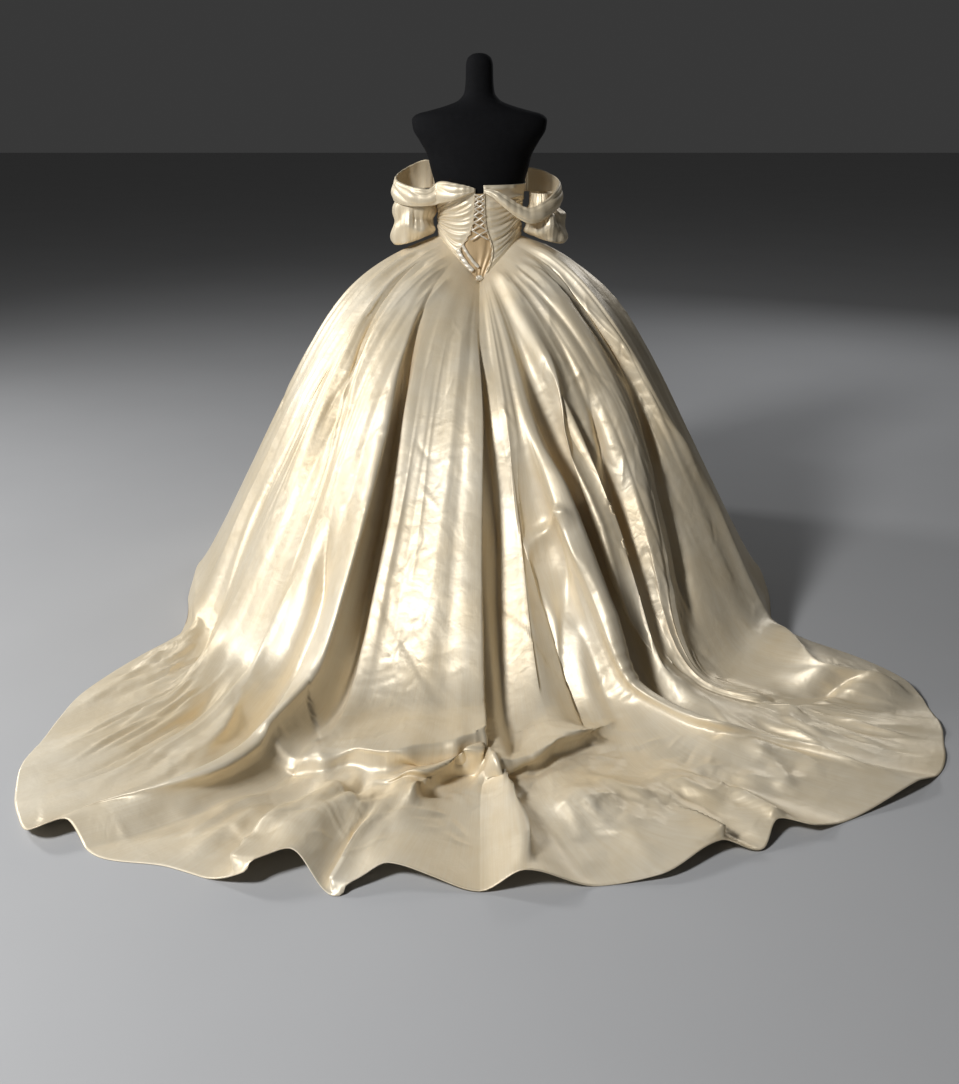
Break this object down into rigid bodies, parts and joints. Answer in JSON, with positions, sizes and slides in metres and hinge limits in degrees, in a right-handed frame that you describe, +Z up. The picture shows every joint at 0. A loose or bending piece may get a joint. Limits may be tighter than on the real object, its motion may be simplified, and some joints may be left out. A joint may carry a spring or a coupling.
{
  "type": "princess dress on a dress form",
  "caption": "Off-shoulder satin gown with puff sleeves, ruched and laced back bodice and a full skirt with a train spread on the floor, worn by a black limbless dress form on a stand",
  "frame": {"origin": "on the floor, under the axis of the dress form, at the middle of its base", "axes": "+Z up; +Y towards the back of the dress, where the train lies; +X towards the wearer's left"},
  "size_m": [2.2656, 2.5978, 1.615],
  "materials": {
    "satin": "heavy champagne satin with a soft metallic sheen",
    "satin_shade": "the same satin in the shade of the opening",
    "ribbon": "narrow white satin ribbon",
    "form_cloth": "matt black jersey cover",
    "stand_metal": "satin black"
  },
  "bodies": {
    "root": {"skirt_back_left": "satin", "skirt_back_right": "satin", "skirt_side_left": "satin", "skirt_side_right": "satin", "skirt_front": "satin", "bodice_back_left": "satin", "bodice_back_right": "satin", "bodice_front": "satin", "modesty_panel": "satin_shade", "collar_left": "satin", "collar_front": "satin", "collar_right": "satin", "sleeve_left": "satin", "sleeve_right": "satin", "loops_left": "satin", "loops_right": "satin", "lacing": "ribbon", "ribbon_end_long": "ribbon", "ribbon_end_short": "ribbon", "lacing_knot": "ribbon", "form_torso": "form_cloth", "form_pole": "stand_metal", "form_base": "stand_metal"}
  },
  "joints": []
}
